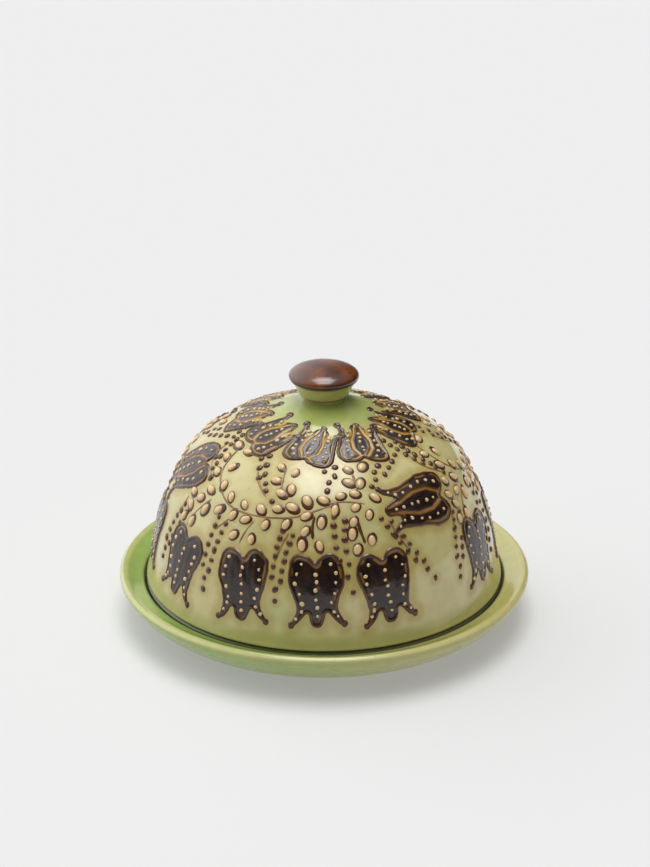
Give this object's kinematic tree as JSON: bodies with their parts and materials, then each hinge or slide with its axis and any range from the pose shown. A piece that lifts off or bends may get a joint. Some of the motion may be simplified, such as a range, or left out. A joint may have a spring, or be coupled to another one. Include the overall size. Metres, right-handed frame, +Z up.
{
  "type": "butter dish",
  "caption": "Round glazed pottery butter dish on a foot ring, with a domed lid that lifts off by a flared knob and is trailed with raised slip tulips, seeds and berries.",
  "frame": {"origin": "centre of the foot ring, on the surface the dish stands on", "axes": "+Z up along the axis the dish and lid are thrown about; -Y is the decorated front"},
  "size_m": [0.2002, 0.2002, 0.128],
  "materials": {
    "dish_glaze": "glossy apple-green glaze, breaking pale yellow along the lip",
    "dome_glaze": "glossy pale cream-olive glaze, greener round the crown",
    "stem_glaze": "glossy olive-green glaze",
    "knob_slip": "glossy chestnut-brown slip",
    "tulip_slip": "glossy near-black slip with a brown edge",
    "pearl_slip": "glossy cream slip dots",
    "seed_slip": "glossy cream slip on a dark brown blot",
    "berry_slip": "glossy dark brown slip dots"
  },
  "bodies": {
    "dish": {"dish": "dish_glaze"},
    "lid": {"berries_front": "berry_slip", "berries_left": "berry_slip", "berries_right": "berry_slip", "knob_cap": "knob_slip", "knob_stem": "stem_glaze", "lid_dome": "dome_glaze", "pearls_lower": "pearl_slip", "pearls_middle": "pearl_slip", "pearls_upper": "pearl_slip", "seeds_front": "seed_slip", "seeds_left": "seed_slip", "seeds_right": "seed_slip", "tulip_lower_1": "tulip_slip", "tulip_lower_10": "tulip_slip", "tulip_lower_11": "tulip_slip", "tulip_lower_12": "tulip_slip", "tulip_lower_2": "tulip_slip", "tulip_lower_3": "tulip_slip", "tulip_lower_4": "tulip_slip", "tulip_lower_5": "tulip_slip", "tulip_lower_6": "tulip_slip", "tulip_lower_7": "tulip_slip", "tulip_lower_8": "tulip_slip", "tulip_lower_9": "tulip_slip", "tulip_middle_1": "tulip_slip", "tulip_middle_2": "tulip_slip", "tulip_middle_3": "tulip_slip", "tulip_upper_1": "tulip_slip", "tulip_upper_2": "tulip_slip", "tulip_upper_3": "tulip_slip", "tulip_upper_4": "tulip_slip", "tulip_upper_5": "tulip_slip", "tulip_upper_6": "tulip_slip", "tulip_upper_7": "tulip_slip", "tulip_upper_8": "tulip_slip", "tulip_upper_9": "tulip_slip"}
  },
  "joints": [
    {"name": "lid_lift", "type": "slide", "parent": "dish", "child": "lid", "axis": [0, 0, 1], "range_m": [0, 0.15]}
  ]
}
